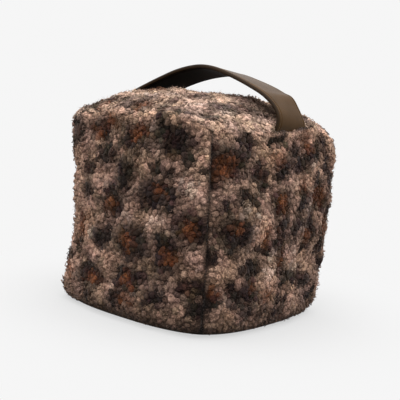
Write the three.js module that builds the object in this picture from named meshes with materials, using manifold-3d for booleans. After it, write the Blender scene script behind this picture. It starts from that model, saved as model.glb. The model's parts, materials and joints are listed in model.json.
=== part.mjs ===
// Weighted fabric door stop: a stuffed cube of animal-spotted wool boucle that stands on its own
// weight, with a folded leather strap sewn into two of its top seams to lift it by.
// Millimetres, +Z up. The origin is the middle of the base, on the floor. The strap runs along X.
import * as THREE from 'three';
import Module from 'manifold-3d';

const wasm = await Module();
wasm.setup();

// The six sewn panels
const panelSide = 150;          // square panels, corner to corner
const seamHeight = 142.8;       // where three seams meet at a top corner, above the floor
const seamBow = 7;              // how far each top seam bows outwards between its corners
const sideBulge = 3.2;          // further swell of a side panel at mid height
const sideFullness = 2.7;       // 2 is a plain arc, more is fuller towards the seams
const lowBulge = 5.3;           // swell near the floor, where the ballast settles
const lowBulgeAt = 5.5;         // height of its middle
const lowBulgeSpread = 27.5;    // how quickly it fades upwards
const baseRound = 6;            // radius that each side panel rolls under with
const baseRoll = 6.6;           // length of panel that lies in that roll
const cornerRound = 4;          // further rounding of the four base corners
const planSquareness = 6.4;     // how squarely the base corners are drawn in; 2 is round
const capRise = 13.5;           // how far the top panel crowns above its own seams
const capFullness = 2.25;
const plainSeamRise = 9;        // upward bow of the two top seams without a strap
const strapSeamRise = 6.5;      // upward bow of the two top seams that hold the strap
const strapSeamSkew = 4.1;      // the strap's pull lifts one half of its seam and lowers the other
const seamFullness = 3.3;

// How the stuffed cube stands askew
const leftWaist = 4.4;          // how far the vertical seam at -X, -Y is drawn in at mid height
const otherBelly = 2.6;         // how far the other three vertical seams belly out there
const leftDrop = 1.3;           // how far the top corner at -X, -Y hangs below seamHeight
const farDrop = 5.6;            // the same for the top corner at +X, +Y
const farTopOut = 1.5;          // that corner leans: its top stands this much further out
const farFootIn = 3.8;          // and its foot this much further in
const coverTwist = 2.2;         // degrees that the top is turned against the base

// The stitched grooves and the uneven filling
const seamDepth = 1.8;
const seamWidth = 4.5;          // half width of the dip that a seam draws into each panel
const lumpHeight = 2.4;
const lumpLength = 11.5;        // half the distance from one lump to the next
const flatMargin = 12;          // grooves and lumps fade out below this height, above a flat base

// The spotted cloth
const groundColour = new THREE.Color(0x8d7363);
const spotColour = new THREE.Color(0x2c2627);
const heartColour = new THREE.Color(0x6b3c22);
const spotSpacing = 27;
const spotRadius = 12;
const heartRadius = 4.5;
const heartShare = 0.6;         // share of the spots that have a rust-brown heart

// The strap
const strapWidth = 35;
const strapThickness = 3;
const fingerRoom = 16.5;        // clear height between the crown and the top of the arch
const archWidth = 168;          // from one turn of the middle line to the other
const archMiddle = 6;           // place of the highest point along X
const springRise = 4.5;         // height of each turn above the seam that it springs from
const rightFullness = 1.6;      // 2 is an ellipse, less is a straighter flank
const leftFullness = 1.42;
const strapLean = 6;            // degrees that the top of the arch leans towards +Y
const strapTuck = 11;           // length of strap held inside each seam
const strapInset = 2.5;         // middle line of the strap, inside the line of the seam
const stitchInset = 2.6;        // line of edge stitching, from the strap's edge
const stitchDepth = 0.35;
const stitchWidth = 1.4;
const sewnGap = 0.3;            // clearance between strap and cover all round

// Mesh density
const panelCells = 30;
const strapSteps = 44;
const archPoints = 9;           // guide points of the arch
const edgePoints = 5;           // points round each rolled edge of the strap

const halfSide = panelSide / 2;
const puff = (t, fullness) => 1 - Math.abs(t) ** fullness;
const smooth = THREE.MathUtils.smoothstep;

// The four corners, seen from above
const LEFT = { at: [-1, -1], belly: -leftWaist, drop: leftDrop, topOut: 0, footIn: 0 };
const FRONT = { at: [1, -1], belly: otherBelly, drop: 0, topOut: 0, footIn: 0 };
const FAR = { at: [1, 1], belly: otherBelly, drop: farDrop, topOut: farTopOut, footIn: farFootIn };
const HIDDEN = { at: [-1, 1], belly: otherBelly, drop: 0, topOut: 0, footIn: 0 };

// The four side panels, anticlockwise from above, starting with the one that faces -Y
const SIDES = [
  { from: LEFT, to: FRONT, out: [0, -1], rise: plainSeamRise, skew: 0 },
  { from: FRONT, to: FAR, out: [1, 0], rise: strapSeamRise, skew: strapSeamSkew },
  { from: FAR, to: HIDDEN, out: [0, 1], rise: plainSeamRise, skew: 0 },
  { from: HIDDEN, to: LEFT, out: [-1, 0], rise: strapSeamRise, skew: strapSeamSkew },
];

// Where a vertical seam stands, seen from above, at a share h of its height
function verticalSeam(corner, h) {
  const belly = corner.belly * Math.max(Math.sin(Math.PI * h), 0) ** 1.5;
  const reach = halfSide + belly + corner.topOut * h - corner.footIn * (1 - h);
  return corner.at.map((sign) => sign * reach);
}

// A point turned about the upright axis, one way above mid height and the other way below it
function twisted(x, y, z, h) {
  const turn = THREE.MathUtils.degToRad(coverTwist) * (0.5 - h);
  return new THREE.Vector3(x, y, z).applyAxisAngle(new THREE.Vector3(0, 0, 1), turn);
}

// A point of a side panel: u runs -1 to 1 from seam to seam, h runs 0 to 1 from the floor up
function sidePoint(side, u, h) {
  const a = verticalSeam(side.from, h);
  const b = verticalSeam(side.to, h);
  const share = (u + 1) / 2;
  const rollEnd = baseRoll / seamHeight;
  const roll = Math.min(h / rollEnd, 1) * (Math.PI / 2);
  const corners = seamHeight - side.from.drop * (1 - share) - side.to.drop * share;
  const top = corners + side.rise * puff(u, seamFullness) + side.skew * Math.sin(Math.PI * u);
  const above = Math.max(h - rollEnd, 0) / (1 - rollEnd);
  const radius = baseRound + cornerRound * Math.abs(u) ** 6;
  const z = radius * (1 - Math.cos(roll)) + (top - radius) * above;
  const low = lowBulge * Math.exp(-(((h * seamHeight - lowBulgeAt) / lowBulgeSpread) ** 2));
  const swell = seamBow + sideBulge * puff(2 * h - 1, 2) + low * smooth(1 - h, 0, 0.3);
  const x = a[0] + (b[0] - a[0]) * share + side.out[0] * swell * puff(u, sideFullness);
  const y = a[1] + (b[1] - a[1]) * share + side.out[1] * swell * puff(u, sideFullness);
  const reach = (Math.abs(x) ** planSquareness + Math.abs(y) ** planSquareness) ** (1 / planSquareness);
  const tucked = 1 - (radius * (1 - Math.sin(roll))) / reach;
  return twisted(x * tucked, y * tucked, z, h);
}

// A point of the top panel, whose four edges are the top edges of the side panels
function topPoint(u, v) {
  let x = u * (halfSide + seamBow * puff(v, sideFullness));
  let y = v * (halfSide + seamBow * puff(u, sideFullness));
  let corners = seamHeight;
  for (const { at: [ix, iy], drop, topOut } of [LEFT, FRONT, FAR, HIDDEN]) {
    const share = ((1 + ix * u) * (1 + iy * v)) / 4;
    x += ix * topOut * share;
    y += iy * topOut * share;
    corners -= drop * share;
  }
  const seams = plainSeamRise * puff(u, seamFullness) + strapSeamRise * puff(v, seamFullness);
  const skew = strapSeamSkew * Math.sin(Math.PI * v) * u;
  const crown = capRise * puff(u, capFullness) * puff(v, capFullness);
  return twisted(x, y, corners + seams + skew + crown, 1);
}

// A welded mesh under construction: points that fall together are one vertex, which keeps the
// shorter of its distances to a sewn seam.
function newCover() {
  return { points: [], toSeam: [], faces: [], known: new Map() };
}

function addVertex(cover, point, toSeam) {
  const key = point.toArray().map((value) => Math.round(value * 1e4)).join();
  if (!cover.known.has(key)) {
    cover.known.set(key, cover.points.length);
    cover.points.push(point);
    cover.toSeam.push(toSeam);
  }
  const index = cover.known.get(key);
  cover.toSeam[index] = Math.min(cover.toSeam[index], toSeam);
  return index;
}

// Where line i of a panel's grid runs, from -1 to 1, closer together beside the seams
function gridLine(i) {
  const even = (2 * i) / panelCells - 1;
  return (even + Math.sin((Math.PI / 2) * even)) / 2;
}

// One panel as a grid, its squares split along alternate diagonals. pointAt and seamAt take u and
// v, -1 to 1.
function addPanel(cover, pointAt, seamAt) {
  const rows = [];
  for (let j = 0; j <= panelCells; j += 1) {
    const v = gridLine(j);
    rows.push([]);
    for (let i = 0; i <= panelCells; i += 1) {
      const u = gridLine(i);
      rows[j].push(addVertex(cover, pointAt(u, v), seamAt(u, v)));
    }
  }
  for (let j = 0; j < panelCells; j += 1) {
    for (let i = 0; i < panelCells; i += 1) {
      const [a, b, c, d] = [rows[j][i], rows[j][i + 1], rows[j + 1][i + 1], rows[j + 1][i]];
      cover.faces.push(...((i + j) % 2 ? [a, b, c, a, c, d] : [a, b, d, b, c, d]));
    }
  }
}

// The flat base: one ring of faces from its middle to the bottom edges of the side panels
function addBase(cover) {
  const middle = addVertex(cover, new THREE.Vector3(), Infinity);
  for (const side of SIDES) {
    for (let i = 0; i < panelCells; i += 1) {
      const [a, b] = [i, i + 1].map((line) => addVertex(cover, sidePoint(side, gridLine(line), 0), Infinity));
      cover.faces.push(middle, b, a);
    }
  }
}

// A repeatable number from 0 to 1 for a cell of space
function cellChance(x, y, z, salt) {
  const wave = Math.sin(x * 127.1 + y * 311.7 + z * 74.7 + salt * 53.3) * 43758.5453;
  return wave - Math.floor(wave);
}

// Slow, repeatable unevenness between -1 and 1: chance values at the corners of cells of space,
// blended smoothly between them
function lump(point) {
  const place = point.clone().divideScalar(lumpLength);
  const cell = place.clone().floor();
  const within = place.sub(cell).toArray().map((t) => smooth(t, 0, 1));
  let total = 0;
  for (let n = 0; n < 8; n += 1) {
    const corner = [n & 1, (n >> 1) & 1, (n >> 2) & 1];
    const weight = corner.reduce((product, side, axis) => product * (side ? within[axis] : 1 - within[axis]), 1);
    total += weight * cellChance(cell.x + corner[0], cell.y + corner[1], cell.z + corner[2], 5);
  }
  return 2 * total - 1;
}

function coverGeometry() {
  const cover = newCover();
  for (const side of SIDES) {
    const toSeam = (u, v) => Math.min((1 - Math.abs(u)) * halfSide, ((1 - v) / 2) * seamHeight);
    addPanel(cover, (u, v) => sidePoint(side, u, (v + 1) / 2), toSeam);
  }
  addPanel(cover, topPoint, (u, v) => (1 - Math.max(Math.abs(u), Math.abs(v))) * halfSide);
  addBase(cover);
  const geometry = new THREE.BufferGeometry().setFromPoints(cover.points);
  geometry.setIndex(cover.faces);
  geometry.computeVertexNormals();
  const normals = geometry.getAttribute('normal');
  cover.points.forEach((point, i) => {
    const normal = new THREE.Vector3().fromBufferAttribute(normals, i);
    const groove = seamDepth * Math.exp(-((cover.toSeam[i] / seamWidth) ** 2));
    const shift = (lumpHeight * lump(point) - groove) * smooth(point.z, 0, flatMargin);
    point.addScaledVector(normal, shift);
  });
  geometry.setFromPoints(cover.points);
  geometry.deleteAttribute('normal');
  return geometry;
}

// The strap's middle line: an arch that springs from the two strap seams, with both ends tucked in
function strapLine() {
  const top = topPoint(0, 0).setX(archMiddle);
  top.z += fingerRoom + strapThickness / 2;
  const flank = (end, fullness) => {
    const seam = topPoint(end, 0);
    const entry = new THREE.Vector3(seam.x - end * strapInset, 0, seam.z);
    const spring = new THREE.Vector3((end * archWidth) / 2, 0, seam.z + springRise);
    const tuckEnd = entry.clone().addScaledVector(entry.clone().sub(spring).normalize(), strapTuck);
    const points = [tuckEnd, entry, spring];
    for (let i = 1; i < archPoints; i += 1) {
      const share = Math.cos((i / archPoints) * (Math.PI / 2));
      const climb = (1 - share ** fullness) ** (1 / fullness);
      points.push(new THREE.Vector3(top.x + (spring.x - top.x) * share, 0, spring.z + (top.z - spring.z) * climb));
    }
    return points;
  };
  const points = [...flank(1, rightFullness), top, ...flank(-1, leftFullness).reverse()];
  return new THREE.CatmullRomCurve3(points, false, 'centripetal');
}

// The strap's section as pairs of across and out: two faces with a stitched line near each edge,
// and rolled edges between them
function strapSection() {
  const radius = strapThickness / 2;
  const flat = strapWidth / 2 - radius;
  const stitch = strapWidth / 2 - stitchInset;
  const points = [];
  for (let i = 0; i <= edgePoints; i += 1) {
    const turn = (i / edgePoints) * (Math.PI / 2);
    points.push([flat + radius * Math.cos(turn), radius * Math.sin(turn)]);
  }
  points.push([stitch, radius - stitchDepth], [stitch - stitchWidth / 2, radius]);
  const mirrored = points.map(([across, out]) => [-across, out]).reverse();
  const half = [...points, ...mirrored];
  return [...half, ...half.slice(1, -1).map(([across, out]) => [-across, -out])];
}

// The plain section of the pocket that a strap end lies in, wider than the strap all round
function pocketSection() {
  const across = strapWidth / 2 + sewnGap;
  const out = strapThickness / 2 + sewnGap;
  return [[across, -out], [across, out], [-across, out], [-across, -out]];
}

// A section lofted along the strap's middle line, and run on past both ends by overrun
function loftAlongStrap(section, overrun) {
  const line = strapLine();
  const points = [];
  const faces = [];
  for (let j = 0; j <= strapSteps; j += 1) {
    const t = j / strapSteps;
    const along = line.getTangentAt(t);
    const centre = line.getPointAt(t);
    if (j === 0) centre.addScaledVector(along, -overrun);
    if (j === strapSteps) centre.addScaledVector(along, overrun);
    const lean = THREE.MathUtils.degToRad(strapLean) * Math.sin(Math.PI * t) ** 2;
    const across = new THREE.Vector3(0, 1, 0).applyAxisAngle(along, lean);
    const out = new THREE.Vector3().crossVectors(across, along).normalize();
    for (const [w, n] of section) {
      points.push(centre.clone().addScaledVector(across, w).addScaledVector(out, n));
    }
  }
  const count = section.length;
  for (let j = 0; j < strapSteps; j += 1) {
    for (let i = 0; i < count; i += 1) {
      const a = j * count + i;
      const b = j * count + ((i + 1) % count);
      faces.push(a, b + count, b, a, a + count, b + count);
    }
  }
  const outline = section.map(([w, n]) => new THREE.Vector2(w, n));
  for (const [a, b, c] of THREE.ShapeUtils.triangulateShape(outline, [])) {
    const last = strapSteps * count;
    faces.push(a, b, c, last + a, last + c, last + b);
  }
  const geometry = new THREE.BufferGeometry().setFromPoints(points);
  geometry.setIndex(faces);
  return geometry;
}

function toSolid(geometry) {
  const vertProperties = Float32Array.from(geometry.getAttribute('position').array);
  const triVerts = Uint32Array.from(geometry.getIndex().array);
  return new wasm.Manifold(new wasm.Mesh({ numProp: 3, vertProperties, triVerts }));
}

function toGeometry(solid) {
  const mesh = solid.getMesh();
  const geometry = new THREE.BufferGeometry();
  geometry.setAttribute('position', new THREE.BufferAttribute(mesh.vertProperties, 3));
  geometry.setIndex(new THREE.BufferAttribute(mesh.triVerts, 1));
  geometry.computeVertexNormals();
  return geometry;
}

// The spot whose middle lies nearest to a point: how far it is, and whether it has a rust heart
function nearestSpot(point) {
  const cell = point.clone().divideScalar(spotSpacing).floor();
  let best = { away: Infinity, heart: false };
  for (let n = 0; n < 27; n += 1) {
    const [x, y, z] = [cell.x + (n % 3) - 1, cell.y + (Math.floor(n / 3) % 3) - 1, cell.z + Math.floor(n / 9) - 1];
    const middle = new THREE.Vector3(x, y, z);
    middle.add(new THREE.Vector3(cellChance(x, y, z, 1), cellChance(x, y, z, 2), cellChance(x, y, z, 3)));
    const away = middle.multiplyScalar(spotSpacing).distanceTo(point);
    if (away < best.away) best = { away, heart: cellChance(x, y, z, 4) < heartShare };
  }
  return best;
}

function paintSpots(geometry) {
  const positions = geometry.getAttribute('position');
  const colours = [];
  for (let i = 0; i < positions.count; i += 1) {
    const spot = nearestSpot(new THREE.Vector3().fromBufferAttribute(positions, i));
    const inHeart = spot.heart && spot.away < heartRadius;
    const colour = inHeart ? heartColour : spot.away < spotRadius ? spotColour : groundColour;
    colours.push(...colour.toArray());
  }
  geometry.setAttribute('color', new THREE.Float32BufferAttribute(colours, 3));
}

function stuffedBody() {
  const pocket = toSolid(loftAlongStrap(pocketSection(), sewnGap));
  const geometry = toGeometry(toSolid(coverGeometry()).subtract(pocket));
  paintSpots(geometry);
  const boucle = new THREE.MeshStandardMaterial({ vertexColors: true, roughness: 0.95, metalness: 0 });
  const mesh = new THREE.Mesh(geometry, boucle);
  mesh.name = 'stuffed_body';
  return mesh;
}

function carryStrap() {
  const leather = new THREE.MeshStandardMaterial({ color: 0x5a4733, roughness: 0.45, metalness: 0 });
  const mesh = new THREE.Mesh(toGeometry(toSolid(loftAlongStrap(strapSection(), 0))), leather);
  mesh.name = 'carry_strap';
  return mesh;
}

const doorStop = new THREE.Group();
doorStop.add(stuffedBody(), carryStrap());
export default doorStop;
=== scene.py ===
import itertools
import json
import math

import bmesh
import bpy
import numpy as np
from mathutils import Matrix, Vector

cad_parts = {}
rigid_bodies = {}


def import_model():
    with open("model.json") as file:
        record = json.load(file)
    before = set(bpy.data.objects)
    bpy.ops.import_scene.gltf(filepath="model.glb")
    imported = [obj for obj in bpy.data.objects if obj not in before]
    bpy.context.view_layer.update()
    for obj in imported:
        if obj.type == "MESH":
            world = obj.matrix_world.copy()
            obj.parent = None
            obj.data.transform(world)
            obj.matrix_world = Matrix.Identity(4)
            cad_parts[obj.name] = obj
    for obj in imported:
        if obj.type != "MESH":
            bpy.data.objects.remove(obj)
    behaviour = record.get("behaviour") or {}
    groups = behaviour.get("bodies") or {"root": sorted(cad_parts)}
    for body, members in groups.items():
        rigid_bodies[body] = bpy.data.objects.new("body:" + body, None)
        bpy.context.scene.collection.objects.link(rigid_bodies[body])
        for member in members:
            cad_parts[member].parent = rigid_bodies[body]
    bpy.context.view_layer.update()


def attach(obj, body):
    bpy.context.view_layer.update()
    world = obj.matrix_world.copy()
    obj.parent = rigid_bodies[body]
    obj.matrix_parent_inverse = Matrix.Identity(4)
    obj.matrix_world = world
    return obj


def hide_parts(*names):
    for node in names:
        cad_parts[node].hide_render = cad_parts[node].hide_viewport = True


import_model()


# Camera
# The lens stands a little above the top of the cube and looks at its front vertical seam, held
# slightly out of level. Everything is in metres, in the frame's own axes.
camera_place = Vector((0.3899, -0.4501, 0.1433))
camera_aim = Vector((-0.0002, 0.0019, 0.0846))
camera_roll = math.radians(4.59)
focal_length = 66.78                # millimetres, on a 36 mm sensor


def placed(name, data):
    """A new object of the scene."""
    thing = bpy.data.objects.new(name, data)
    bpy.context.scene.collection.objects.link(thing)
    return thing


camera_data = bpy.data.cameras.new("camera")
camera_data.lens = focal_length
camera_data.sensor_width = 36
camera = placed("camera", camera_data)
camera.location = camera_place
camera.rotation_mode = "QUATERNION"
level = (camera_aim - camera_place).to_track_quat("-Z", "Y")
camera.rotation_quaternion = level @ Matrix.Rotation(camera_roll, 3, "Z").to_quaternion()
bpy.context.scene.camera = camera


# Stuffed cover
# Five panels of animal-spotted wool boucle and a base, sewn edge to edge into a cube and filled
# until they belly out between their seams. The filling is heaviest, and swells most, near the floor.
panel_side = 0.150
seam_height = 0.1428
seam_bow = 0.007
side_bulge = 0.0032
side_fullness = 2.7
low_bulge = 0.0053
low_bulge_at = 0.0055
low_bulge_spread = 0.0275
base_round = 0.006
base_roll = 0.0066
corner_round = 0.004
plan_squareness = 6.4
cap_rise = 0.0135
cap_fullness = 2.25
plain_seam_rise = 0.009
strap_seam_rise = 0.0065
strap_seam_skew = 0.0041
seam_fullness = 3.3
left_waist = 0.0044
other_belly = 0.0026
left_drop = 0.0013
far_drop = 0.0056
far_top_out = 0.0015
far_foot_in = 0.0038
cover_twist = math.radians(2.2)
half_side = panel_side / 2

cover_cells = 80                    # squares along each side of a panel
seam_depth = 0.0006                 # wide, soft dip that a seam draws into the filling
seam_width = 0.0045
crevice_depth = 0.0011              # the narrow fold at the stitches themselves
crevice_width = 0.0012
lump_height = 0.0024                # uneven filling
lump_length = 0.0115
lump_margin = 0.012                 # dips and lumps fade out below this height, to stand flat
pile_depth = 0.0009                 # room that the pile takes inside the cushion's outline
foot_tuck = 0.0016                  # and how far its foot is drawn in for the pile that spreads there
foot_tuck_height = 0.012
seam_shade = 0.97                   # painted shade in the fold of an upright seam: how dark, and how far it reaches
seam_shade_width = 0.0028
foot_shade = 0.74                   # painted shade where the cloth curves under towards the floor: how dark, and how far up
foot_shade_height = 0.028
mouth_reach = (0.0185, 0.0240)      # from the strap's middle line, where its ends fill up the top seams
mouth_fill = 0.8
mouth_gap = (0.002, 0.010)
mouth_shade = 0.9                   # painted shadow in the crease where the strap goes in: how dark, and how wide
mouth_shade_width = 0.0014
knot_pitch = 0.0052                 # size of a knot of the boucle yarn

CORNERS = {                         # belly at mid height, drop, lean out at the top, in at the foot
    (-1, -1): (-left_waist, left_drop, 0, 0),
    (1, -1): (other_belly, 0, 0, 0),
    (1, 1): (other_belly, far_drop, far_top_out, far_foot_in),
    (-1, 1): (other_belly, 0, 0, 0),
}
SIDES = {
    "front": {"ends": ((-1, -1), (1, -1)), "out": (0, -1), "rise": plain_seam_rise, "skew": 0},
    "right": {"ends": ((1, -1), (1, 1)), "out": (1, 0), "rise": strap_seam_rise, "skew": strap_seam_skew},
    "back": {"ends": ((1, 1), (-1, 1)), "out": (0, 1), "rise": plain_seam_rise, "skew": 0},
    "left": {"ends": ((-1, 1), (-1, -1)), "out": (-1, 0), "rise": strap_seam_rise, "skew": strap_seam_skew},
}
PANELS = (*SIDES, "top")


def puff(t, fullness):
    return 1 - np.abs(t) ** fullness


def smooth(value, low, high):
    t = np.clip((value - low) / (high - low), 0, 1)
    return t * t * (3 - 2 * t)


def vertical_seam(corner, h):
    belly, _, top_out, foot_in = CORNERS[corner]
    reach = half_side + belly * np.maximum(np.sin(np.pi * h), 0) ** 1.5 + top_out * h - foot_in * (1 - h)
    return corner[0] * reach, corner[1] * reach


def twisted(x, y, z, h):
    """A point turned about the upright axis, one way above mid height and the other way below it."""
    turn = cover_twist * (0.5 - h)
    return np.stack([x * np.cos(turn) - y * np.sin(turn), x * np.sin(turn) + y * np.cos(turn), z], -1)


def side_point(side, u, h):
    """A point of a side panel: u from -1 to 1 between its seams, h from 0 to 1 up it."""
    first, second = side["ends"]
    (ax, ay), (bx, by) = vertical_seam(first, h), vertical_seam(second, h)
    share = (u + 1) / 2
    roll_end = base_roll / seam_height
    roll = np.minimum(h / roll_end, 1) * np.pi / 2
    corners = seam_height - CORNERS[first][1] * (1 - share) - CORNERS[second][1] * share
    top = corners + side["rise"] * puff(u, seam_fullness) + side["skew"] * np.sin(np.pi * u)
    above = np.maximum(h - roll_end, 0) / (1 - roll_end)
    radius = base_round + corner_round * np.abs(u) ** 6
    z = radius * (1 - np.cos(roll)) + (top - radius) * above
    low = low_bulge * np.exp(-(((h * seam_height - low_bulge_at) / low_bulge_spread) ** 2))
    swell = seam_bow + side_bulge * puff(2 * h - 1, 2) + low * smooth(1 - h, 0, 0.3)
    x = ax + (bx - ax) * share + side["out"][0] * swell * puff(u, side_fullness)
    y = ay + (by - ay) * share + side["out"][1] * swell * puff(u, side_fullness)
    reach = (np.abs(x) ** plan_squareness + np.abs(y) ** plan_squareness) ** (1 / plan_squareness)
    tucked = 1 - radius * (1 - np.sin(roll)) / reach
    return twisted(x * tucked, y * tucked, z, h)


def top_point(u, v):
    x = u * (half_side + seam_bow * puff(v, side_fullness))
    y = v * (half_side + seam_bow * puff(u, side_fullness))
    corners = seam_height
    for (ix, iy), (_, drop, top_out, _) in CORNERS.items():
        share = (1 + ix * u) * (1 + iy * v) / 4
        x = x + ix * top_out * share
        y = y + iy * top_out * share
        corners = corners - drop * share
    seams = plain_seam_rise * puff(u, seam_fullness) + strap_seam_rise * puff(v, seam_fullness)
    skew = strap_seam_skew * np.sin(np.pi * v) * u
    crown = cap_rise * puff(u, cap_fullness) * puff(v, cap_fullness)
    return twisted(x, y, corners + seams + skew + crown, 1)


def panel_point(name, u, v):
    return top_point(u, v) if name == "top" else side_point(SIDES[name], u, (v + 1) / 2)


def panel_grid(cells):
    """The u and v of every corner of a panel's squares, which are finer beside the seams."""
    t = np.linspace(-1, 1, cells + 1)
    t = 0.5 * t + 0.5 * np.sin(np.pi / 2 * t)
    return np.meshgrid(t, t)


def seam_gap(name, u, v):
    """How far a point lies from the nearest seam of its panel."""
    if name == "top":
        return (1 - np.maximum(np.abs(u), np.abs(v))) * half_side
    return np.minimum((1 - np.abs(u)) * half_side, (1 - v) / 2 * seam_height)


def sewn_cover(cells):
    """The panels and the base as one welded mesh: points, faces, and what belongs to each of them."""
    u, v = panel_grid(cells)
    points, places, gaps, owners = [], [], [], []
    for number, name in enumerate(PANELS):
        points.append(panel_point(name, u, v).reshape(-1, 3))
        places.append(np.stack([u, v], -1).reshape(-1, 2))
        gaps.append(seam_gap(name, u, v).ravel())
        owners.append(np.full(u.size, number))
    points, places, gaps, owners = map(np.concatenate, (points, places, gaps, owners))
    _, kept, index = np.unique(np.round(points, 6), axis=0, return_index=True, return_inverse=True)
    index = index.ravel()
    gap = np.full(len(kept), half_side)
    np.minimum.at(gap, index, gaps)
    row = np.arange(cells)
    corner = (row[:, None] * (cells + 1) + row).ravel()
    square = np.stack([corner, corner + 1, corner + cells + 2, corner + cells + 1], -1)
    faces = np.concatenate([index[square + number * (cells + 1) ** 2] for number in range(len(PANELS))])
    rim = np.concatenate([index[row + number * (cells + 1) ** 2] for number in range(len(SIDES))])
    face_panel = np.append(np.repeat(np.arange(len(PANELS)), cells ** 2), len(PANELS))
    return points[kept], [*faces.tolist(), rim[::-1].tolist()], places[kept], owners[kept], gap, face_panel


def new_mesh(name, points, faces):
    mesh = bpy.data.meshes.new(name)
    mesh.from_pydata(points.tolist(), [], faces)
    mesh.polygons.foreach_set("use_smooth", np.ones(len(faces), bool))
    mesh.update()
    return mesh


def normals_of(mesh):
    normals = np.empty(len(mesh.vertices) * 3, np.float32)
    mesh.vertex_normals.foreach_get("vector", normals)
    return normals.reshape(-1, 3)


def chance(cell, salt):
    """A repeatable number from 0 to 1 for each cell of space."""
    wave = np.sin(cell @ np.array([127.1, 311.7, 74.7]) + salt * 53.3) * 43758.5453
    return wave - np.floor(wave)


def cloudy(points, size, salt):
    """Smooth, repeatable unevenness between -1 and 1 whose cells measure size."""
    place = points / size
    cell = np.floor(place)
    within = place - cell
    within = within * within * (3 - 2 * within)
    total = 0
    for corner in itertools.product((0, 1), repeat=3):
        weight = np.prod(np.where(corner, within, 1 - within), axis=1)
        total = total + weight * chance(cell + corner, salt)
    return 2 * total - 1


def nearest_knot(points, pitch, salt):
    """The cell of space whose knot of yarn each point belongs to."""
    place = points / pitch
    cell = np.floor(place)
    nearest = np.full(len(points), np.inf)
    own = np.zeros_like(points)
    for step in itertools.product((-1, 0, 1), repeat=3):
        there = cell + step
        middle = there + np.stack([chance(there, salt + k) for k in range(3)], -1)
        away = np.linalg.norm(middle - place, axis=1)
        closer = away < nearest
        nearest = np.where(closer, away, nearest)
        own[closer] = there[closer]
    return own


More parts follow.
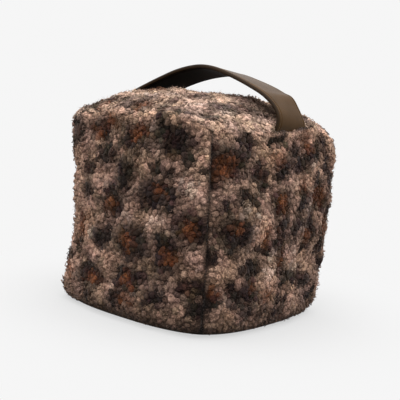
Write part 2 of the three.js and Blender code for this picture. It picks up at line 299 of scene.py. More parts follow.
# The dyed pattern: dark patches, some with a rust or brown heart, and a few pale ones, on taupe. Each
# entry is a patch's place across and up its panel from the middle of its lower edge, then its width
# and height, in millimetres. The left and back panels have theirs scattered by scattered_patches.
PATCHES = {
    "front": {
        "charcoal": [
            (-60, 128, 15, 11), (-62, 137, 10, 7), (-33, 129, 22, 13), (8, 125, 30, 18), (44, 127, 31, 19),
            (32, 139, 10, 7), (57, 115, 11, 11), (36, 106, 18, 8), (36, 95, 28, 8), (30, 87, 34, 13),
            (0, 100, 20, 18), (-22, 112, 16, 14), (-46, 101, 13, 12), (-46, 85, 14, 9), (-17, 80, 25, 17),
            (-51, 44, 12, 9), (-23, 54, 20, 14), (10, 54, 30, 22), (43, 52, 20, 27), (62, 73, 24, 21),
            (-66, 34, 13, 8), (-31, 27, 28, 15), (12, 31, 34, 14), (4, 16, 18, 9), (39, 22, 18, 12),
            (65, 31, 15, 14), (68, 17, 12, 11), (-31, 13, 11, 6), (72, 110, 6, 8), (-52, 62, 10, 8),
        ],
        "brown": [(-60, 128, 9, 6), (-46, 101, 7, 7), (65, 30, 8, 8), (-37, 66, 16, 6), (45, 116, 14, 5)],
        "rust": [
            (-35, 128, 10, 7), (-22, 135, 12, 5), (11, 128, 12, 9), (36, 91, 9, 6), (-18, 77, 9, 7),
            (-52, 57, 10, 13), (3, 55, 9, 8), (47, 51, 9, 8), (60, 72, 8, 8), (-62, 26, 14, 8),
            (-28, 26, 10, 6), (11, 30, 9, 6), (11, 16, 8, 5),
        ],
        "pale": [
            (27, 132, 5, 5), (31, 72, 12, 6), (-37, 56, 8, 7), (60, 97, 14, 10), (0, 73, 12, 8),
            (66, 47, 7, 7),
        ],
    },
    "right": {
        "charcoal": [
            (-62, 120, 26, 21), (-72, 106, 8, 9), (-46, 135, 13, 11), (-31, 112, 14, 18),
            (-43, 96, 20, 9), (-8, 115, 15, 11), (-13, 136, 17, 7), (14, 115, 20, 10), (29, 125, 24, 9),
            (-7, 92, 19, 16), (19, 90, 13, 16), (45, 93, 21, 18), (40, 106, 9, 7), (-54, 73, 25, 23),
            (-72, 57, 8, 13), (-20, 62, 26, 8), (-5, 70, 12, 18), (12, 72, 11, 14), (33, 71, 16, 17),
            (28, 57, 11, 8), (51, 57, 10, 12), (-38, 46, 20, 11), (-2, 50, 9, 16), (8, 36, 22, 8),
            (31, 32, 19, 14), (-45, 30, 28, 14), (0, 22, 10, 6), (-21, 18, 11, 8), (-5, 13, 12, 7),
            (63, 110, 10, 15), (63, 40, 10, 14), (52, 18, 14, 9), (66, 84, 8, 12), (-70, 25, 11, 14),
            (-38, 17, 12, 8), (-54, 126, 18, 8), (23, 122, 12, 8), (3, 128, 12, 9), (43, 132, 14, 9),
            (56, 122, 9, 12), (58, 66, 9, 10), (-62, 90, 10, 8),
        ],
        "brown": [(-31, 112, 7, 9), (-70, 35, 9, 8), (-5, 70, 6, 9), (12, 98, 7, 7), (48, 30, 9, 7)],
        "rust": [
            (-65, 117, 14, 10), (-14, 124, 10, 7), (20, 134, 9, 9), (-7, 92, 8, 9), (19, 102, 7, 6),
            (49, 95, 8, 8), (-52, 77, 6, 6), (-22, 71, 6, 12), (30, 67, 7, 7), (61, 72, 11, 12),
            (-34, 35, 6, 7), (-17, 28, 8, 9), (-2, 50, 5, 7), (-69, 30, 8, 7), (23, 129, 9, 7),
            (40, 93, 7, 8),
        ],
        "pale": [
            (-46, 88, 6, 6), (-32, 85, 6, 6), (-38, 73, 6, 6), (-15, 56, 9, 8), (-16, 42, 14, 12),
            (15, 42, 12, 10), (12, 56, 7, 7), (22, 73, 6, 8), (30, 85, 9, 8), (41, 112, 8, 6),
            (31, 116, 6, 6),
        ],
    },
    "top": {
        "charcoal": [
            (-2, 7, 26, 12), (31, 5, 15, 8), (48, 5, 12, 8), (59, 12, 12, 9), (50, 35, 10, 24),
            (55, 54, 13, 11), (-36, 11, 20, 9), (-62, 22, 16, 14), (20, 40, 16, 14),
            (-20, 42, 18, 14), (-50, 58, 17, 14), (-4, 74, 13, 10), (-28, 92, 16, 13),
            (8, 106, 13, 12), (-58, 112, 14, 13), (38, 114, 14, 12), (-14, 128, 13, 9), (-42, 134, 12, 8),
            (64, 98, 14, 13), (66, 132, 12, 11), (17, 133, 14, 11),
            (-2, 20, 14, 6), (-66, 82, 9, 12), (-52, 7, 13, 7), (-19, 13, 13, 7), (22, 17, 10, 6),
        ],
        "brown": [(32, 5, 10, 6), (56, 54, 7, 6), (20, 40, 8, 7), (-50, 58, 8, 8), (14, 18, 12, 6)],
        "rust": [
            (3, 7, 11, 6), (-34, 8, 8, 5), (-51, 17, 9, 6), (-20, 42, 8, 7), (34, 78, 7, 8), (-28, 92, 8, 7),
            (10, 104, 8, 8), (38, 122, 8, 6),
        ],
        "pale": [(10, 30, 14, 8), (-10, 24, 12, 6), (38, 22, 12, 7), (60, 30, 7, 8), (-36, 30, 10, 8)],
    },
}
taupe = (0.452, 0.279, 0.202)       # the ground, as every dye a linear colour
DYES = {                            # colour, strength, soft share of the radius, spread past its patch
    "pale": ((0.560, 0.410, 0.330), 0.7, 0.4, 1.1),
    "charcoal": ((0.0122, 0.0080, 0.0072), 0.97, 0.46, 1.38),
    "brown": ((0.100, 0.052, 0.032), 0.6, 0.5, 1.1),
    "rust": ((0.130, 0.043, 0.017), 0.90, 0.65, 1.35),
}
ragged_by = 0.0029                  # how far a patch's outline wanders
ragged_length = 0.0062
knot_shift = 0.0056                 # how far apart the dye of neighbouring knots can lie
knot_take = 0.9                     # how unevenly they take up a patch's dye
cloud_mottle = 0.30                 # unevenness of the ground in clouds, and from knot to knot
cloud_size = 0.009
knot_mottle = 0.38
blue_drift = 0.08                   # the ground is a little cooler here and warmer there
blue_drift_size = 0.014
knot_tinge = 0.07                   # chance tint of a knot, and how much more of it a dark one has
dark_tinge = 0.30
dark_range = (0.03, 0.15)
top_hazed_patches = 0.86                      # painted haze of light on the top, seen at a grazing angle under the light from above: its patches fainter, its wool greyer
top_painted_haze = (0.98, 1.06, 1.09)
scattered_pitch = 0.026             # spacing and sizes of the patches on the left and back panels
scattered_jitter = 0.28
scattered_sizes = (0.010, 0.019)
HEARTS = {"rust": 0.5, "brown": 0.15, "none": 0.35}     # how often such a patch has which heart
heart_size = (1, 1, 0.45, 0.45)     # of a patch's place, width and height
pale_share = 0.4                    # how often one without a heart has a pale patch beside it
pale_size = (1, 1, 0.5, 0.5)
pale_beside = (13, 6, 0, 0)


def scattered_patches(seed):
    """Patches for a panel, one in each cell of a jittered grid."""
    chosen = np.random.default_rng(seed)
    patches = {dye: [] for dye in DYES}
    steps = int(panel_side / scattered_pitch) + 1
    for i, j in itertools.product(range(steps), repeat=2):
        strayed = chosen.uniform(-scattered_jitter, scattered_jitter, 2)
        across, up = (np.array([i, j]) + strayed + 0.5) * panel_side / steps
        wide, tall = chosen.uniform(*scattered_sizes, 2)
        place = np.array([across - half_side, up, wide, tall]) * 1000
        patches["charcoal"].append(place)
        heart = chosen.choice(list(HEARTS), p=list(HEARTS.values()))
        if heart != "none":
            patches[heart].append(place * heart_size)
        elif chosen.random() < pale_share:
            patches["pale"].append(place * pale_size + pale_beside)
    return patches


def cloth_colour(points, places, owners, knot_cell):
    """The colour of the cloth at every point of the cover, with painted haze of light on its top. Each knot
    of yarn has a dye of its own.
    """
    size = np.array([panel_side / 2, seam_height / 2])
    flat = (places + (0, 1)) * size
    wander = np.stack([cloudy(points, ragged_length, salt) for salt in (11, 12)], -1)
    wander += 0.5 * np.stack([cloudy(points, ragged_length / 2, salt) for salt in (13, 14)], -1)
    own_shift = np.stack([chance(knot_cell, salt) for salt in (25, 26)], -1) - 0.5
    flat = flat + wander * ragged_by + own_shift * knot_shift
    mottle = 1 + cloud_mottle * cloudy(points, cloud_size, 15) + knot_mottle * (chance(knot_cell, 27) - 0.5)
    colour = np.array(taupe) * mottle[:, None]
    colour[:, 2] *= 1 + blue_drift * cloudy(points, blue_drift_size, 17)
    for number, name in enumerate(PANELS):
        mine = owners == number
        patches = PATCHES.get(name) or scattered_patches(40 + number)
        kept = top_hazed_patches if name == "top" else 1
        for dye, (tint, strength, edge, spread) in DYES.items():
            taken = np.zeros(mine.sum())
            for across, up, wide, tall in patches[dye]:
                offset = (flat[mine] * 1000 - (across, up)) / (wide / 2, tall / 2) / spread
                inside = 1 - smooth(np.linalg.norm(offset, axis=1), 1 - edge, 1 + edge)
                taken = np.maximum(taken, inside)
            share = (taken * strength * kept)[:, None]
            patchy = 1 + knot_take * (chance(knot_cell[mine], 28) - 0.4)
            colour[mine] = colour[mine] * (1 - share) + np.array(tint) * patchy[:, None] * share
        # painted haze of light: the top's wool paler and greyer
        if name == "top":
            colour[mine] *= top_painted_haze
    tinge = np.stack([chance(knot_cell, salt) for salt in (31, 32, 33)], -1) - 0.5
    dark = 1 - smooth(colour.max(axis=1), *dark_range)[:, None]
    return colour * (1 + (knot_tinge + dark_tinge * dark) * tinge)


def by_strap_end(points, half_width, out, up):
    """Whether a point lies where an end of the strap enters a top seam."""
    return (np.abs(points[:, 1]) < half_width) & (np.abs(points[:, 0]) > out) & (points[:, 2] > up)


def store(mesh, layer, values, kind="FLOAT", domain="POINT"):
    """Keeps one value for each point or face of a mesh."""
    field = "color" if kind == "FLOAT_COLOR" else "value"
    values = np.asarray(values, np.int32 if kind == "INT" else np.float32)
    mesh.attributes.new(layer, kind, domain).data.foreach_set(field, values.ravel())


points, faces, places, owners, gap, face_panel = sewn_cover(cover_cells)
cover_mesh = new_mesh("cover", points, faces)
upright = smooth(points[:, 2], 0, lump_margin)
lumps = lump_height * cloudy(points, lump_length, 5)
seams = seam_depth * np.exp(-((gap / seam_width) ** 2))
seams = seams + crevice_depth * np.exp(-((gap / crevice_width) ** 2))
lifted = smooth(points[:, 2], 0, pile_depth * 2)
mouth = 1 - smooth(np.abs(points[:, 1]), *mouth_reach)
mouth = mouth * by_strap_end(points, mouth_reach[1], 0.060, 0.120)
filled = mouth * (1 - smooth(gap, *mouth_gap))
relief = (lumps - seams * (1 - mouth_fill * filled)) * upright - pile_depth * lifted * (1 - filled)
shaped = points + normals_of(cover_mesh) * relief[:, None]
drawn_in = pile_depth * (1 - lifted) + foot_tuck * (1 - smooth(points[:, 2], 0, foot_tuck_height))
shaped[:, :2] *= 1 - drawn_in[:, None] / half_side
cover_mesh.vertices.foreach_set("co", shaped.astype(np.float32).ravel())
cover_mesh.update()

knot_cell = nearest_knot(points, knot_pitch, 21)
colour = cloth_colour(points, places, owners, knot_cell)
seam_beside = (1 - np.abs(places[:, 0])) * half_side + np.where(owners < len(SIDES), 0, half_side)
# painted shade in the folds of the upright seams
colour *= 1 - seam_shade * np.exp(-((seam_beside / seam_shade_width) ** 2))[:, None]
# painted shade low down, where the cloth curves under towards the floor
colour *= 1 - foot_shade * (1 - smooth(points[:, 2], 0, foot_shade_height))[:, None]
# painted shadow along the line where the strap's ends go into the seams
colour *= 1 - mouth_shade * (mouth * np.exp(-((gap / mouth_shade_width) ** 2)))[:, None]

# Room for the wool: it stops short of the upright seams, the strap's ends and the floor, and its
# knots are smaller beside them. Each range is a distance over which room or size comes back.
at_strap = by_strap_end(points, 0.0190, 0.070, 0.130)
off_floor = smooth(points[:, 2], 0.0012, 0.003)
knot_room = smooth(seam_beside, 0.0020, 0.0025) * np.where(at_strap, smooth(gap, 0.0014, 0.0022), 1)
hair_room = smooth(seam_beside, 0.0018, 0.0026) * np.where(at_strap, smooth(gap, 0.0012, 0.0026), 1)
knot_room *= off_floor
hair_room *= off_floor
knot_size = 0.50 + 0.50 * smooth(seam_beside, 0.002, 0.0065)
knot_size *= np.where(at_strap, 0.55 + 0.45 * smooth(gap, 0.001, 0.006), 1)
knot_size *= 0.55 + 0.45 * smooth(points[:, 2], 0.002, 0.012)
# The dye layer holds the cloth's dyes with the painted shade of the seams, the foot and the strap's ends
# multiplied in.
store(cover_mesh, "dye", np.concatenate([colour, np.ones((len(points), 1))], axis=1), "FLOAT_COLOR")
store(cover_mesh, "knot_room", knot_room)
store(cover_mesh, "hair_room", hair_room)
store(cover_mesh, "knot_size", knot_size)
# The bare cloth lies at the roots of the pile, so it takes the painted root shade all over.
store(cover_mesh, "rise", np.zeros(len(points)))
store(cover_mesh, "tone", np.full(len(points), 0.5))
store(cover_mesh, "panel", face_panel, "INT", "FACE")
stuffed_cover = placed("stuffed_cover", cover_mesh)


WOOL_STRANDS = {                    # what each wool material sets on the group
    "Stray scale": 240,             # how finely, and how far in metres, a winding thread strays
    "Stray": 0.0030,
    "Coil size": 0.0048,            # spacing of the centres that the threads wind about
    "Thread pitch": 0.00150,
    "Hair scale": 1000,
}
thread_relief = 0.5                 # height of the threads, and of the fine hairs on them
hair_relief = 0.8
thread_groove_shade = (0.60, 0.70)          # painted shade of a thread by its height, darker in the grooves: slope and least value
hair_groove_shade = (1.9, 0.05)
knot_tones = (0.82, 1.16)           # darkest and lightest knot
softness = 0.8                      # how far light that wanders through a strand evens out its shading


def new_group(name, inputs, outputs):
    """An empty shader node group, given its inputs and outputs as names and kinds of socket."""
    group = bpy.data.node_groups.new(name, "ShaderNodeTree")
    for in_out, sockets in (("INPUT", inputs), ("OUTPUT", outputs)):
        for socket, kind in sockets.items():
            group.interface.new_socket(socket, in_out=in_out, socket_type=f"NodeSocket{kind}")
    return group


def made(tree, kind, inputs, **settings):
    """A new node's outputs. Its inputs take plain values or other nodes' outputs."""
    node = tree.nodes.new(kind)
    for setting, value in settings.items():
        setattr(node, setting, value)
    for socket, value in inputs.items():
        if isinstance(value, bpy.types.NodeSocket):
            tree.links.new(value, node.inputs[socket])
        else:
            node.inputs[socket].default_value = value
    return node.outputs


def calculated(tree, operation, *values):
    return made(tree, "ShaderNodeMath", dict(enumerate(values)), operation=operation)["Value"]


def calculated_vector(tree, operation, *values):
    return made(tree, "ShaderNodeVectorMath", dict(enumerate(values)), operation=operation)["Vector"]


def cloud_noise(tree, place, scale, detail, roughness):
    inputs = {"Vector": place, "Scale": scale, "Detail": detail, "Roughness": roughness}
    return made(tree, "ShaderNodeTexNoise", inputs)


def strand_group():
    """Looped wool: threads that wind about small centres, roughened by fine hairs, with painted shade where
    they lie lower.
    """
    sockets = {name: "Float" for name in WOOL_STRANDS}
    group = new_group("wool strands", sockets, {"Groove shade": "Float", "Height": "Float"})
    given = made(group, "NodeGroupInput", {})
    place = made(group, "ShaderNodeTexCoord", {})["Object"]
    stray = cloud_noise(group, place, given["Stray scale"], 2, 0.7)["Color"]
    strayed = calculated_vector(group, "MULTIPLY_ADD", stray, given["Stray"], place)
    scale = calculated(group, "DIVIDE", 1, given["Coil size"])
    centres = made(group, "ShaderNodeTexVoronoi", {"Vector": strayed, "Scale": scale})
    threads = calculated(group, "DIVIDE", given["Coil size"], given["Thread pitch"])
    turns = calculated(group, "MULTIPLY", threads, 2 * math.pi)
    wound = calculated(group, "SINE", calculated(group, "MULTIPLY", centres["Distance"], turns))
    thread = calculated(group, "MULTIPLY_ADD", wound, 0.5, 0.5)
    hairs = cloud_noise(group, place, given["Hair scale"], 3, 0.7)["Fac"]
    fuzz = calculated(group, "MULTIPLY", hairs, hair_relief)
    height = calculated(group, "MULTIPLY_ADD", thread, thread_relief, fuzz)
    # painted shade: threads and hairs are darker where they lie lower, as in the grooves between them
    by_thread = calculated(group, "MULTIPLY_ADD", thread, *thread_groove_shade)
    by_hair = calculated(group, "MULTIPLY_ADD", hairs, *hair_groove_shade)
    tone = calculated(group, "MULTIPLY", by_hair, by_thread)
    made(group, "NodeGroupOutput", {"Groove shade": tone, "Height": height})
    return group


def wool_material(name, nap_depth, root_painted_shade, tip_painted_light):
    """Dyed wool: the cloth's own colour with painted shade towards the roots and in the grooves between
    threads, uneven from strand to strand, matt.
    """
    material = bpy.data.materials.new(name)
    material.use_nodes = True
    tree = material.node_tree
    shader = tree.nodes["Principled BSDF"]
    shader.inputs["Roughness"].default_value = 1.0
    shader.inputs["Specular IOR Level"].default_value = 0.0
    shader.inputs["Sheen Weight"].default_value = 0.26
    shader.inputs["Sheen Tint"].default_value = (0.62, 0.54, 0.51, 1)
    shader.inputs["Sheen Roughness"].default_value = 0.5

    def stored(layer):
        return made(tree, "ShaderNodeAttribute", {}, attribute_name=layer)

    def ranged(layer, low, high):
        inputs = {"Value": stored(layer)["Fac"], "To Min": low, "To Max": high}
        return made(tree, "ShaderNodeMapRange", inputs)["Result"]

    strands = made(tree, "ShaderNodeGroup", WOOL_STRANDS, node_tree=wool_strands)
    # painted shade: darker towards each strand's roots, by its rise
    tone = calculated(tree, "MULTIPLY", strands["Groove shade"], ranged("rise", root_painted_shade, tip_painted_light))
    tone = calculated(tree, "MULTIPLY", tone, ranged("tone", *knot_tones))
    dyed = {0: stored("dye")["Color"], "Scale": tone}
    coloured = made(tree, "ShaderNodeVectorMath", dyed, operation="SCALE")
    tree.links.new(coloured["Vector"], shader.inputs["Base Color"])
    nap = made(tree, "ShaderNodeBump", {"Height": strands["Height"], "Strength": 1.0, "Distance": nap_depth})
    evened = (softness, softness, softness)
    softened = calculated_vector(tree, "MULTIPLY_ADD", stored("lie")["Vector"], evened, nap["Normal"])
    tree.links.new(calculated_vector(tree, "NORMALIZE", softened), shader.inputs["Normal"])
    return material


wool_strands = strand_group()
cover_mesh.materials.append(wool_material("boucle_ground", 0.0009, 0.70, 1.0))
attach(stuffed_cover, "root")
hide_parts("stuffed_body")


# Boucle pile
# Knots of looped yarn that stand side by side out of the cloth, with small curls and loose hairs
# between them. They are wool in the cloth's own dyes, woven into it, and leave its seams free.
knot_kinds = 12
knot_spacing = 0.0036
knot_width = (0.0023, 0.0031)       # half its width: the least and the most, as in the other pairs here
knot_height = (0.0012, 0.0017)
knot_oval = (0.82, 1.22)
KNOT_RINGS = ((0.90, 5), (0.55, 7), (0.05, 7))          # share of its height, and corners
curl_kinds = 8
curl_spacing = 0.0034
curl_reach = (0.0015, 0.0026)
curl_height = (0.0018, 0.0026)
curl_points = 9
yarn_radius = 0.00044
hair_kinds = 6
hair_spacing = 0.00100
hair_length = (0.0026, 0.0042)
hair_bend = (0.4, 1.6)
hair_radius = 0.00013
root_depth = 0.0004                 # how deep curls and hairs are rooted in the cloth
SCATTER = (                         # what, its spacing, its room, lean in radians, sizes, seed
    ("Knots", "Knot spacing", "knot_room", 0.30, 0.65, 1.25, 3),
    ("Curls", "Curl spacing", "hair_room", 0.55, 0.75, 1.25, 1),
    ("Hairs", "Hair spacing", "hair_room", 1.0, 0.6, 1.3, 2),
)
most_to_a_metre = 600000            # more than fit at any of the spacings, for each square metre
picks = 60                          # a strand's kind is drawn from more numbers than there are kinds
lowest_strand = 0.0002              # above the floor


def tube(path, radii, sides=3):
    """A closed tube of few faces along a path, whose ends come to a point."""
    path = np.asarray(path)
    along = np.gradient(path, axis=0)
    along /= np.linalg.norm(along, axis=1)[:, None]
    across = np.cross(along, (0.31, 0.22, 0.93))
    across /= np.linalg.norm(across, axis=1)[:, None]
    beside = np.cross(along, across)
    rings = []
    for k in range(sides):
        turn = 2 * np.pi * k / sides
        rings.append(path + (across * np.cos(turn) + beside * np.sin(turn)) * np.asarray(radii)[:, None])
    body = np.stack(rings, 1)[1:-1].reshape(-1, 3)
    points = np.concatenate([body, path[:1], path[-1:]])
    faces = []
    count = len(path) - 2
    for j in range(count - 1):
        for k in range(sides):
            a, b = j * sides + k, j * sides + (k + 1) % sides
            faces.append((a, b, b + sides, a + sides))
    last = (count - 1) * sides
    for k in range(sides):
        faces.append(((k + 1) % sides, k, len(body)))
        faces.append((last + k, last + (k + 1) % sides, len(body) + 1))
    return points, faces


def hull(points):
    """The convex skin of a few points, as points and faces that look outwards."""
    shape = bmesh.new()
    for point in points:
        shape.verts.new(point)
    bmesh.ops.convex_hull(shape, input=shape.verts)
    bmesh.ops.delete(shape, geom=[vert for vert in shape.verts if not vert.link_faces], context="VERTS")
    bmesh.ops.recalc_face_normals(shape, faces=shape.faces)
    shape.verts.index_update()
    skin = np.array([vert.co[:] for vert in shape.verts])
    faces = [tuple(vert.index for vert in face.verts) for face in shape.faces]
    shape.free()
    return skin, faces


def template(name, points, faces):
    """One strand to scatter. Its rise runs from 0 at its lowest point to 1 at its highest."""
    mesh = new_mesh(name, points, faces)
    low, high = points[:, 2].min(), points[:, 2].max()
    store(mesh, "rise", (points[:, 2] - low) / (high - low))
    return bpy.data.objects.new(name, mesh)


def knot_templates():
    """Knots of yarn: small uneven domes of felted loops."""
    collection = bpy.data.collections.new("knots")
    for kind in range(knot_kinds):
        chosen = np.random.default_rng(300 + kind)
        wide = chosen.uniform(*knot_width)
        tall = chosen.uniform(*knot_height)
        oval = chosen.uniform(*knot_oval)
        rings = [np.array([[0, 0, tall]])]
        for lift, count in KNOT_RINGS:
            turn = 2 * np.pi * (np.arange(count) + chosen.random()) / count
            out = wide * math.sqrt(1 - lift ** 2) * chosen.uniform(0.86, 1.16, count)
            height = tall * (lift + chosen.uniform(-0.10, 0.10, count))
            rings.append(np.stack([out * np.cos(turn) * oval, out * np.sin(turn) / oval, height], -1))
        rings.append(np.array([[0, 0, -tall * 0.5]]))
        collection.objects.link(template(f"knot_{kind}", *hull(np.concatenate(rings))))
    return collection


def curl_templates():
    """Single curls of yarn that wind about over the cloth and dip back into it at both ends."""
    collection = bpy.data.collections.new("curls")
    for kind in range(curl_kinds):
        chosen = np.random.default_rng(320 + kind)
        t = np.linspace(0, 1, curl_points)
        reach = chosen.uniform(*curl_reach)
        turn = 2 * np.pi * (chosen.uniform(0.7, 1.3) * t + 0.22 * np.sin(2 * np.pi * (t + chosen.random())))
        away = reach * (0.55 + 0.45 * np.sin(2 * np.pi * (chosen.uniform(0.6, 1.4) * t + chosen.random())))
        swell = np.sin(np.pi * t) ** 0.6 + 0.25 * np.sin(3 * np.pi * t + chosen.uniform(0, 6))
        z = chosen.uniform(*curl_height) * swell - root_depth
        radii = yarn_radius * chosen.uniform(0.55, 0.85, curl_points)
        path = np.stack([away * np.cos(turn), away * np.sin(turn), z], -1)
        collection.objects.link(template(f"curl_{kind}", *tube(path, radii)))
    return collection


def hair_templates():
    """Single loose hairs that bend over towards their tips."""
    collection = bpy.data.collections.new("hairs")
    for kind in range(hair_kinds):
        chosen = np.random.default_rng(330 + kind)
        t = np.linspace(0, 1, 3)
        length = chosen.uniform(*hair_length)
        bend = chosen.uniform(*hair_bend)
        x = length * bend * t ** 2 * 0.6
        y = length * 0.25 * np.sin(3 * t + chosen.uniform(0, 6)) * t
        z = length * (t - 0.25 * bend * t ** 2) - root_depth
        radii = hair_radius * (1 - 0.6 * t)
        collection.objects.link(template(f"hair_{kind}", *tube(np.stack([x, y, z], -1), radii)))
    return collection


def pile_tree():
    """Geometry nodes that scatter the knots, curls and hairs over one panel of the cover."""
    tree = bpy.data.node_groups.new("scatter pile", "GeometryNodeTree")
    sockets = {}
    for kind, names in (
        ("Geometry", ("Cover",)), ("Int", ("Panel", "Seed")), ("Collection", ("Knots", "Curls", "Hairs")),
        ("Float", ("Knot spacing", "Curl spacing", "Hair spacing")), ("Material", ("Wool",)),
    ):
        for name in names:
            socket = tree.interface.new_socket(name, in_out="INPUT", socket_type=f"NodeSocket{kind}")
            sockets[name] = socket.identifier
    tree.interface.new_socket("Pile", in_out="OUTPUT", socket_type="NodeSocketGeometry")
    given = made(tree, "NodeGroupInput", {})

    def stored(layer, kind):
        return made(tree, "GeometryNodeInputNamedAttribute", {"Name": layer}, data_type=kind)["Attribute"]

    def drawn(kind, seed, low, high):
        """A random value for each strand."""
        place = ("FLOAT_VECTOR", "FLOAT", "INT").index(kind)
        inputs = {2 * place: low, 2 * place + 1: high, "Seed": seed}
        return made(tree, "FunctionNodeRandomValue", inputs, data_type=kind)[place]

    def kept(points, layer, kind, value):
        """The points, each with a value that its strand takes on."""
        inputs = {"Geometry": points, "Name": layer, "Value": value}
        node = made(tree, "GeometryNodeStoreNamedAttribute", inputs, data_type=kind, domain="POINT")
        return node["Geometry"]

    both = {2: stored("panel", "INT"), 3: given["Panel"]}
    same = made(tree, "FunctionNodeCompare", both, data_type="INT", operation="EQUAL")
    join = tree.nodes.new("GeometryNodeJoinGeometry")
    for collection, spacing, room, tilt, low, high, salt in SCATTER:
        scatter = made(tree, "GeometryNodeDistributePointsOnFaces", {
            "Mesh": given["Cover"], "Selection": same["Result"], "Seed": given["Seed"],
            "Distance Min": given[spacing], "Density Max": most_to_a_metre,
            "Density Factor": stored(room, "FLOAT"),
        }, distribute_method="POISSON")
        turn = drawn("FLOAT_VECTOR", 10 * salt, (-tilt, -tilt, 0), (tilt, tilt, 2 * math.pi))
        euler = made(tree, "FunctionNodeEulerToRotation", {"Euler": turn})
        leaning = {"Rotation": scatter["Rotation"], "Rotate By": euler["Rotation"]}
        lean = made(tree, "FunctionNodeRotateRotation", leaning, rotation_space="LOCAL")
        kinds = made(tree, "GeometryNodeCollectionInfo", {
            "Collection": given[collection], "Separate Children": True, "Reset Children": True,
        })
        size = drawn("FLOAT", 10 * salt + 1, low, high)
        pick = drawn("INT", 10 * salt + 2, 0, picks)
        tone = drawn("FLOAT", 10 * salt + 3, 0, 1)
        points = kept(scatter["Points"], "lie", "FLOAT_VECTOR", scatter["Normal"])
        place = made(tree, "GeometryNodeInstanceOnPoints", {
            "Points": kept(points, "tone", "FLOAT", tone), "Instance": kinds["Instances"],
            "Pick Instance": True, "Instance Index": pick, "Rotation": lean["Rotation"],
            "Scale": calculated(tree, "MULTIPLY", size, stored("knot_size", "FLOAT")),
        })
        tree.links.new(place["Instances"], join.inputs["Geometry"])
    real = made(tree, "GeometryNodeRealizeInstances", {"Geometry": join.outputs["Geometry"]})
    wool = {"Geometry": real["Geometry"], "Material": given["Wool"]}
    made(tree, "NodeGroupOutput", {"Pile": made(tree, "GeometryNodeSetMaterial", wool)["Geometry"]})
    return tree, sockets


def grown_mesh(name, source, tree, settings):
    """The plain mesh that a geometry nodes tree makes of a source object's mesh."""
    grower = placed(name, source.data.copy())
    modifier = grower.modifiers.new("nodes", "NODES")
    modifier.node_group = tree
    for identifier, value in settings.items():
        modifier[identifier] = value
    bpy.context.view_layer.update()
    evaluated = grower.evaluated_get(bpy.context.evaluated_depsgraph_get())
    mesh = bpy.data.meshes.new_from_object(evaluated)
    bpy.data.objects.remove(grower)
    return mesh


def rest_on_floor(mesh):
    """The lowest strands are pressed flat by the cushion's weight."""
    places = np.empty(len(mesh.vertices) * 3, np.float32)
    mesh.vertices.foreach_get("co", places)
    places[2::3] = np.maximum(places[2::3], lowest_strand)
    mesh.vertices.foreach_set("co", places)
    mesh.update()


knots, curls, hairs = knot_templates(), curl_templates(), hair_templates()
scatter_tree, socket = pile_tree()
pile_wool = wool_material("boucle_pile", 0.0006, 0.64, 1.06)
for number, name in enumerate(PANELS):
    settings = {
        socket["Panel"]: number, socket["Knots"]: knots, socket["Knot spacing"]: knot_spacing,
        socket["Curls"]: curls, socket["Curl spacing"]: curl_spacing, socket["Hairs"]: hairs,
        socket["Hair spacing"]: hair_spacing, socket["Seed"]: 70 + number, socket["Wool"]: pile_wool,
    }
    pile_mesh = grown_mesh(f"grow_{name}", stuffed_cover, scatter_tree, settings)
    rest_on_floor(pile_mesh)
    pile = placed(f"pile_{name}", pile_mesh)
    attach(pile, "root")
for collection in (knots, curls, hairs):
    for kind in list(collection.objects):
        bpy.data.objects.remove(kind)
    bpy.data.collections.remove(collection)


# Carry strap
# A band of satin leather folded to a double thickness with rolled edges, bent over as a handle. Both
# ends are caught in the top seams between the crown and the side panels.
strap_width = 0.035
strap_thickness = 0.003
strap_stations = 220
curve_steps = 24                    # points drawn between two of the listed ones
flat_points = 17                    # points across a flat face, and round half of an edge
round_points = 6
edge_line_inset = 0.0030            # the line pressed in along each edge, as places beside it and depths
EDGE_LINE = ((-0.0004, 0.00004), (0, 0.00042), (0.0004, 0.00004), (0.0010, -0.00012))
edge_line_margin = 0.0012
edge_paint_width = 0.0007
NEAR_EDGE = [                       # x and z of the edge towards -Y, in millimetres
    (-74, 134), (-80, 145), (-83, 153), (-78, 160.5), (-67.7, 167.6), (-52, 174.4), (-36.3, 180.4),
    (-20.3, 185.9), (-4.6, 189.2), (7, 189.9), (20.9, 187.9), (38, 182.6), (53, 176.8), (66.9, 170.4),
    (76.2, 163.8), (80.4, 159.2), (82.6, 154.6), (82.6, 149.5), (80.6, 144.8), (77, 139.5), (74, 134),
]
FAR_EDGE = [                        # the same for the edge towards +Y, which sits lower
    (-74, 134), (-80, 145), (-83, 152), (-77, 159.5), (-66, 166), (-48.4, 172.8), (-33, 178.2),
    (-18, 182.4), (-4, 185.1), (9.5, 186.4), (22, 185.4), (38, 181.2), (54, 176), (63.4, 172.0),
    (68.4, 170.3), (71.4, 167.9), (75.3, 162.6), (79.6, 156), (82.3, 151.2), (82.6, 148.4),
    (79.6, 143), (76, 134),
]


